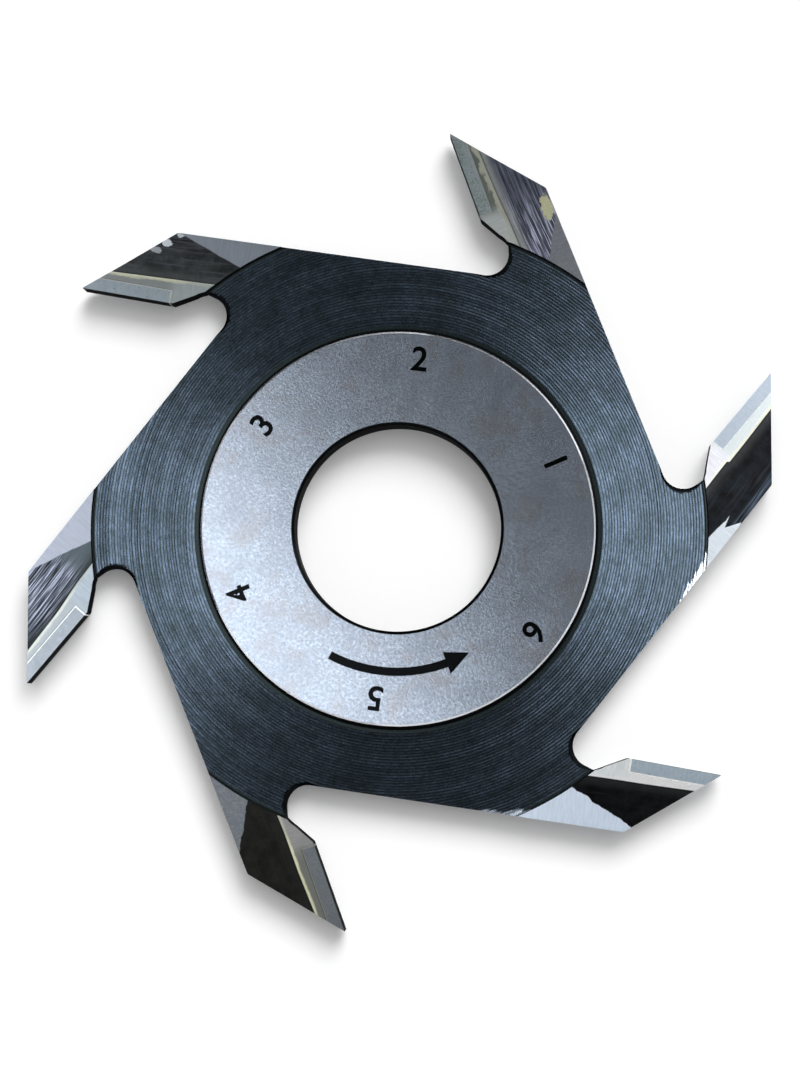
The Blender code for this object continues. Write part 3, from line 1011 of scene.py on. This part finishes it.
def makeSteel():
    material, tree, shader = newMaterial("cutterSteel")
    plan = usePlan(tree)
    r, height, flat = plan["Radius"], plan["Height"], plan["Flat"]
    heel = heelTone(tree, plan)
    offHub = above(tree, r, turning["hubRadius"] - 0.02, 0.03)
    colour = tint(tree, offHub, hubTone(tree, plan), webTone(tree, plan))
    colour = tint(tree, pastRimMask(tree, plan), colour, heel)
    onTooth = above(tree, r, turning["rimInner"] - 0.15, 0.06)
    colour = tint(tree, onTooth, colour, toothTone(tree, plan, heel))
    stamped = opposite(tree, above(tree, height, cutter["midPlane"] - 0.03, 0.01))
    stamped = times(tree, stamped, between(tree, r, 17.5, 29.5, 0.05))
    # Painted shade: the side walls are painted near black, and the tilted faces off the hub, such as the
    # gullets' chamfers, and the chamfer round the bore take the dark line colour
    shadedWalls = opposite(tree, above(tree, flat, 0.45, 0.1))
    gulletChamferShade = times(tree, between(tree, flat, 0.5, 0.85, 0.02), above(tree, r, 31, 0.1))
    boreChamfer = opposite(tree, above(tree, r, cutter["boreRadius"] + turning["boreChamfer"] + 0.02, 0.04))
    for mask in (stamped, gulletChamferShade, boreChamfer):
        colour = tint(tree, mask, colour, steel["line"])
    colour = tint(tree, shadedWalls, colour, steel["wallShade"])
    feed(tree, colour, shader.inputs["Base Color"])
    shader.inputs["Metallic"].default_value = finish["metallic"]
    shader.inputs["Specular Tint"].default_value = (*[finish["specular"]] * 3, 1)
    rough = calc(tree, "ADD", finish["hubRough"], times(tree, plan["Mottle"], finish["mottleRough"]))
    for mask, key in ((offHub, "webRough"), (onTooth, "toothRough"), (shadedWalls, "wallRough")):
        rough = calc(tree, "ADD", rough, times(tree, mask, finish[key]))
    feed(tree, rough, shader.inputs["Roughness"])
    bump = bumpFrom(tree, plan["Speck"], finish["bump"], finish["bumpDepth"] * mm)
    feed(tree, bump, shader.inputs["Normal"])
    return material


dress(body, makeSteel())


carbide = dict(
    # tone: each plate brighter or darker as the light falls on its tooth, painted light and shade
    tone=[(0.50, 0.57, 0.665), (0.30, 0.345, 0.37), (0.31, 0.365, 0.412),
          (0.24, 0.27, 0.31), (0.112, 0.121, 0.135), (0.51, 0.615, 0.71)],
    stain=[0.1, 1.0, 0.3, 0.15, 0.2, 0.25],
    film=(0.16, 0.21, 0.19),
    # side: painted shade on the plates' side faces
    side=(0.012, 0.012, 0.013),
    scratch=0.3,
    mottle=0.4,
    metallic=0.9,
    rough=0.26,
    sideRough=0.35,
    bump=0.2,
    bumpDepth=0.01,
)


def makeCarbide():
    material, tree, shader = newMaterial("carbide")
    plan = usePlan(tree)
    scratch, mottle = plan["Scratch"], plan["Mottle"]
    # Painted light and shade: each plate's tone is brighter or darker as the light falls on its tooth
    tone = byTooth(tree, plan["Number"], carbide["tone"])
    cloud = grain(tree, plan["Place"], 0.5, 3)
    stain = byTooth(tree, plan["Number"], carbide["stain"])
    tone = tint(tree, times(tree, scratch, carbide["scratch"]), tone, scaleColour(tree, tone, 0.7))
    tone = tint(tree, times(tree, mottle, carbide["mottle"]), tone, scaleColour(tree, tone, 0.75))
    tone = tint(tree, times(tree, above(tree, plan["Speck"], 0.45, 0.3), cloud, stain), tone, carbide["film"])
    # Painted shade: the plates' side faces are painted near black
    wallShade = opposite(tree, above(tree, plan["Flat"], 0.5, 0.1))
    feed(tree, tint(tree, wallShade, tone, carbide["side"]), shader.inputs["Base Color"])
    shader.inputs["Metallic"].default_value = carbide["metallic"]
    shader.inputs["Specular Tint"].default_value = (*[finish["specular"]] * 3, 1)
    rough = calc(tree, "ADD", carbide["rough"], times(tree, mottle, 0.1))
    rough = calc(tree, "ADD", rough, times(tree, wallShade, carbide["sideRough"]))
    feed(tree, rough, shader.inputs["Roughness"])
    bump = bumpFrom(tree, scratch, carbide["bump"], carbide["bumpDepth"] * mm)
    feed(tree, bump, shader.inputs["Normal"])
    return material


def dressTips():
    finish = makeCarbide()
    for i in range(cutter["teeth"]):
        dress(bpy.data.objects[f"carbide_tip_{i + 1}"], finish)


dressTips()


# Braze seams: an L of brazing metal behind each plate and at its inner end, a little raised and uneven

seam = dict(
    step=0.35,
    gap=0.006,
    waver=0.03,
    inset=0.07,
    crown=0.03,
    brightShare=0.55,
    metallic=0.9,
    rough=0.4,
    seed=11,
    # tone and edgeTone: each seam brighter or darker as the light falls on its tooth, painted light and shade
    tone=[(0.80, 0.87, 0.88), (0.29, 0.31, 0.315), (0.42, 0.44, 0.435),
          (0.78, 0.84, 0.85), (0.18, 0.185, 0.18), (1.0, 1.0, 1.0)],
    edgeTone=[(0.76, 0.84, 0.86), (0.125, 0.138, 0.142), (0.205, 0.225, 0.22),
              (0.325, 0.355, 0.37), (0.069, 0.072, 0.069), (1.0, 1.0, 1.0)],
)


def seamPlan(chance):
    # Plan points as s and d: the inner end, along the seat's back to the relief, and back along the plate
    inner = tooth["tipThickness"] + seam["gap"]
    outer = tooth["tipThickness"] + tooth["seamWidth"] - seam["gap"]
    near = tooth["tipLength"] + seam["gap"]
    far = tooth["tipLength"] + tooth["seamWidth"] - seam["gap"]
    points = [(near, 0), (far, 0), (far, outer)]
    s = far - seam["step"]
    while s > reliefAt(outer) + seam["step"]:
        points.append((s, outer - chance.uniform(0, seam["waver"])))
        s -= seam["step"]
    points += [(reliefAt(outer), outer), (reliefAt(inner), inner), (near, inner)]
    return points


def makeSeam(number, material):
    chance = random.Random(seam["seed"] + number)
    plan = [onPlan(atTooth(onEdge(s, d), number), groundHeight(s, d)) for s, d in seamPlan(chance)]
    piece = traceLine(f"brazeSeamFine{number + 1}", plan)
    fillAndRaise(-cutter["halfWidth"] - 1)
    bpy.ops.mesh.bisect(plane_co=(0, 0, 0), plane_no=(0, 0, 1), clear_inner=True)
    shape = bmesh.from_edit_mesh(piece.data)
    for face in shape.faces:
        face.select = face.calc_center_median().z > 1.5 * mm and abs(face.normal.z) > 0.9
    bmesh.update_edit_mesh(piece.data)
    bpy.ops.mesh.inset(thickness=seam["inset"] * mm, depth=0)
    bpy.ops.transform.translate(value=(0, 0, seam["crown"] * mm))
    backToObject()
    mirrorDown(piece, True)
    bpy.ops.object.mode_set(mode="EDIT")
    bpy.ops.mesh.select_all(action="SELECT")
    bpy.ops.mesh.normals_make_consistent(inside=False)
    bpy.ops.transform.translate(value=(0, 0, cutter["midPlane"] * mm))
    backToObject()
    dress(piece, material)
    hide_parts(f"braze_seam_{number + 1}")
    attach(piece, "root")


def makeBraze():
    material, tree, shader = newMaterial("brazingBrass")
    plan = usePlan(tree)
    # The film is bright beside the plate and dull beside the seat
    middle = tooth["tipThickness"] + tooth["seamWidth"] * seam["brightShare"]
    # Painted light and shade: each seam's tones are brighter or darker as the light falls on its tooth
    bright, dull = (byTooth(tree, plan["Number"], seam[key]) for key in ("tone", "edgeTone"))
    tone = tint(tree, above(tree, plan["D"], middle, 0.04), bright, dull)
    tone = tint(tree, times(tree, plan["Mottle"], 0.5), tone, scaleColour(tree, tone, 0.6))
    feed(tree, tone, shader.inputs["Base Color"])
    shader.inputs["Metallic"].default_value = seam["metallic"]
    shader.inputs["Roughness"].default_value = seam["rough"]
    return material


brass = makeBraze()
for number in range(cutter["teeth"]):
    makeSeam(number, brass)
print("seams laid")


# Floor, light and camera

camera = dict(place=(17.92, -26.02, 377.0), tilt=3.879, roll=2.705, sensor=24, lens=54.14)
stage = dict(size=6, albedo=0.92, glow=0.14, horizon=0.5, zenith=0.075)
# Two suns from one side, the lower one narrower, which the metal doesn't mirror
suns = dict(
    high=dict(azimuth=69, elevation=60, angle=62, strength=1.3),
    low=dict(azimuth=69, elevation=46, angle=34, strength=1.92),
)
# Soft boxes that only the metal mirrors. Each is placed by its heading and its tilt from straight up.
softBoxes = dict(
    overhead=dict(azimuth=168, tilt=12.6, distance=2.05, spin=52, size=(0.44, 0.9), radiance=1.95),
    left=dict(azimuth=178, tilt=28, distance=2.2, spin=0, size=(0.8, 1.2), radiance=4.4),
    right=dict(azimuth=12, tilt=25, distance=2.2, spin=0, size=(0.9, 1.1), radiance=3.5),
    low=dict(azimuth=50, tilt=76, distance=2.0, spin=0, size=(0.7, 3.0), radiance=2.5),
)


def makeFloor():
    bpy.ops.object.select_all(action="DESELECT")
    bpy.ops.mesh.primitive_plane_add(size=stage["size"])
    floor = bpy.context.object
    floor.name = "paleFloor"
    material, tree, shader = newMaterial("palePaint")
    shade = stage["albedo"]
    shader.inputs["Base Color"].default_value = (shade, shade, shade, 1)
    shader.inputs["Roughness"].default_value = 0.9
    shader.inputs["Specular IOR Level"].default_value = 0
    path = tree.nodes.new("ShaderNodeLightPath")
    seen = calc(tree, "MAXIMUM", path.outputs["Is Camera Ray"], path.outputs["Is Glossy Ray"])
    seen = calc(tree, "MAXIMUM", seen, path.outputs["Is Transmission Ray"])
    shader.inputs["Emission Color"].default_value = (1, 1, 1, 1)
    feed(tree, times(tree, seen, stage["glow"]), shader.inputs["Emission Strength"])
    dress(floor, material)


def makeWorld():
    world = bpy.data.worlds.new("studio")
    world.use_nodes = True
    tree = world.node_tree
    sky = tree.nodes["Background"]
    axes = tree.nodes.new("ShaderNodeSeparateXYZ")
    tree.links.new(tree.nodes.new("ShaderNodeTexCoord").outputs["Generated"], axes.inputs[0])
    low, high = stage["horizon"], stage["zenith"]
    shade = tint(tree, above(tree, axes.outputs["Z"], 0.5, 0.5), (low, low, low), (high, high, high))
    feed(tree, shade, sky.inputs["Color"])
    bpy.context.scene.world = world


def addLight(name, kind):
    light = bpy.data.lights.new(name, kind)
    lamp = bpy.data.objects.new(name, light)
    bpy.context.scene.collection.objects.link(lamp)
    return light, lamp


def makeLights():
    for name, sun in suns.items():
        light, lamp = addLight(name + "Sun", "SUN")
        light.angle = radians(sun["angle"])
        light.energy = sun["strength"]
        lamp.rotation_euler = (0, radians(90 - sun["elevation"]), radians(sun["azimuth"]))
        lamp.visible_glossy = False
    for name, box in softBoxes.items():
        light, lamp = addLight(name, "AREA")
        light.shape = "RECTANGLE"
        light.size, light.size_y = box["size"]
        light.energy = box["radiance"] * pi * light.size * light.size_y
        turn = Matrix.Rotation(radians(box["azimuth"]), 4, "Z")
        tilt = Matrix.Rotation(radians(box["tilt"]), 4, "Y")
        away = Matrix.Translation((0, 0, box["distance"]))
        spin = Matrix.Rotation(radians(box["spin"]), 4, "Z")
        lamp.matrix_world = turn @ tilt @ away @ spin
        lamp.visible_diffuse = False


def makeCamera():
    lens = bpy.data.cameras.new("camera")
    lens.sensor_fit = "VERTICAL"
    lens.sensor_height = camera["sensor"]
    lens.lens = camera["lens"]
    eye = bpy.data.objects.new("camera", lens)
    eye.location = Vector(camera["place"]) * mm
    eye.rotation_euler = (radians(camera["tilt"]), radians(camera["roll"]), 0)
    bpy.context.scene.collection.objects.link(eye)
    bpy.context.scene.camera = eye


makeFloor()
makeWorld()
makeLights()
makeCamera()
print("stage set")
